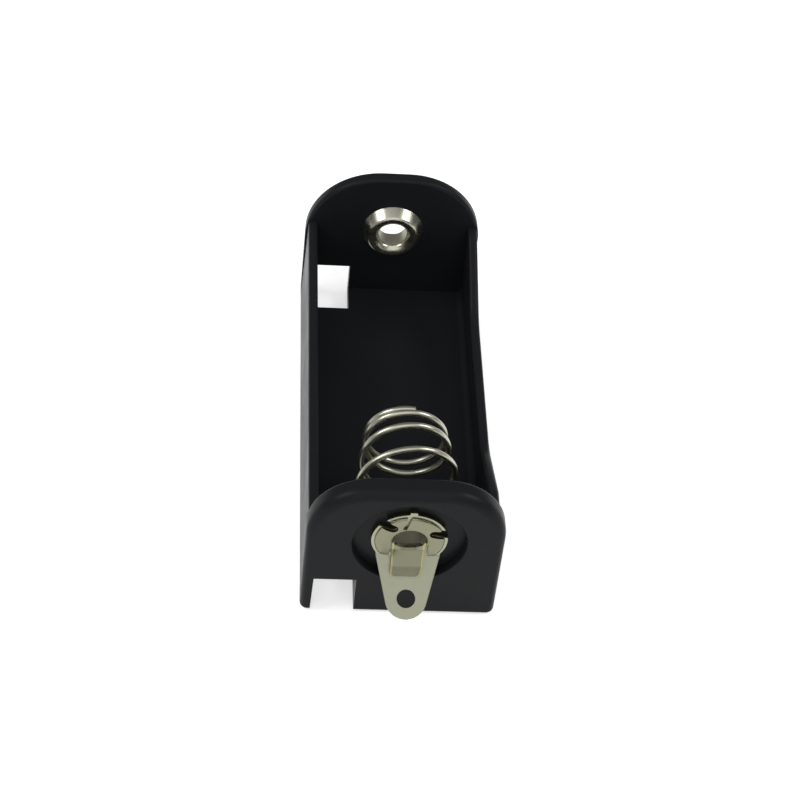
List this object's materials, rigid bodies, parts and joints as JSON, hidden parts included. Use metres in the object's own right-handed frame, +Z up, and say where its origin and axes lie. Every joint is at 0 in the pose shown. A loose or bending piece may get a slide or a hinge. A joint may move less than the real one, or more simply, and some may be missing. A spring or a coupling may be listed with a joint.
{
  "type": "n battery holder",
  "caption": "Open black trough holder for a single N cell, with a conical coil spring at one end, a rolled eyelet contact at the other and a bent solder lug outside each end wall.",
  "frame": {"origin": "on the underside, in the middle of the trough's length and width", "axes": "+Z up out of the open side, +Y along the length from the spring end to the fixed contact, +X towards the side wall with the finger scoop"},
  "size_m": [0.0152, 0.0423, 0.0141],
  "materials": {
    "black_plastic": "moulded, satin",
    "spring_wire": "nickel-plated spring wire",
    "plated_brass": "nickel-plated, satin"
  },
  "bodies": {
    "root": {"housing": "black_plastic", "spring": "spring_wire", "negative_eyelet": "plated_brass", "negative_lug": "plated_brass", "positive_eyelet": "plated_brass", "positive_lug": "plated_brass"}
  },
  "joints": []
}
